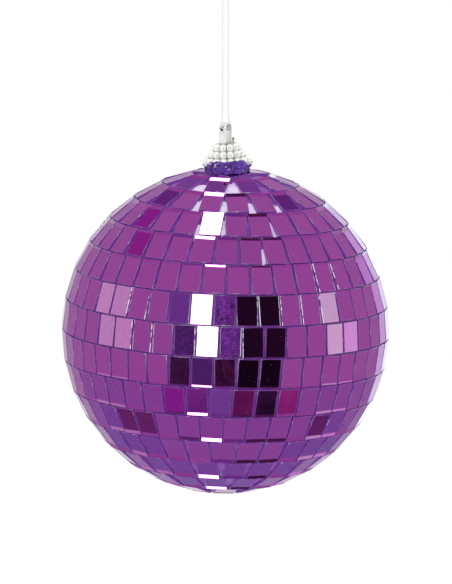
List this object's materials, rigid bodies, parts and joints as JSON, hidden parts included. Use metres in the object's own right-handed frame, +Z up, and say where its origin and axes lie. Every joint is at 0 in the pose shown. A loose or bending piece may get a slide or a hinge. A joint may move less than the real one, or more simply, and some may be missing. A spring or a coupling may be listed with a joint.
{
  "type": "mirror ball ornament",
  "caption": "Hanging mirror ball ornament: purple glass mirror tiles in rows on a foam ball, with a silver beaded crown cap, a bent strip hanger with an eye, and a thread loop to hang it by.",
  "frame": {"origin": "the point in the thread loop where a hook holds it, straight above the centre of the ball", "axes": "+Z up along the hanging thread; the viewer stands at -Y and +X is to the viewer's right"},
  "size_m": [0.1076, 0.1076, 0.1757],
  "materials": {
    "purple_mirror": "tinted glass mirror, polished, with ground edges",
    "violet_glue": "glossy set glue, a little see-through",
    "white_foam": "moulded bead foam",
    "cap_metal": "bright plated",
    "bead_silver": "bright plated",
    "hanger_metal": "bright plated strip",
    "silver_thread": "twisted metallic thread"
  },
  "bodies": {
    "knot": {"thread_knot": "silver_thread"},
    "thread": {"thread_front": "silver_thread", "thread_back": "silver_thread", "thread_bight": "silver_thread"},
    "ball": {"hanger_strip": "hanger_metal", "cap_body": "cap_metal", "bead_row_upper": "bead_silver", "bead_row_middle": "bead_silver", "bead_row_lower": "bead_silver", "bead_end_pin": "cap_metal", "glue_collar": "violet_glue", "foam_core": "white_foam", "adhesive_coat": "violet_glue", "pole_tiles_top": "purple_mirror", "tile_row_01": "purple_mirror", "tile_row_02": "purple_mirror", "tile_row_03": "purple_mirror", "tile_row_04": "purple_mirror", "tile_row_05": "purple_mirror", "tile_row_06": "purple_mirror", "tile_row_07": "purple_mirror", "tile_row_08": "purple_mirror", "tile_row_09": "purple_mirror", "tile_row_10": "purple_mirror", "tile_row_11": "purple_mirror", "tile_row_12": "purple_mirror", "tile_row_13": "purple_mirror", "tile_row_14": "purple_mirror", "pole_tiles_bottom": "purple_mirror"}
  },
  "joints": [
    {"name": "thread_twist", "type": "hinge", "parent": "knot", "child": "thread", "pos_m": [0, 0, 0], "axis": [0, 0, 1], "continuous": true},
    {"name": "ball_rock", "type": "hinge", "parent": "thread", "child": "ball", "pos_m": [0, 0, -0.04538], "axis": [0.6691, 0.7431, 0], "range_deg": [-60, 60]}
  ]
}
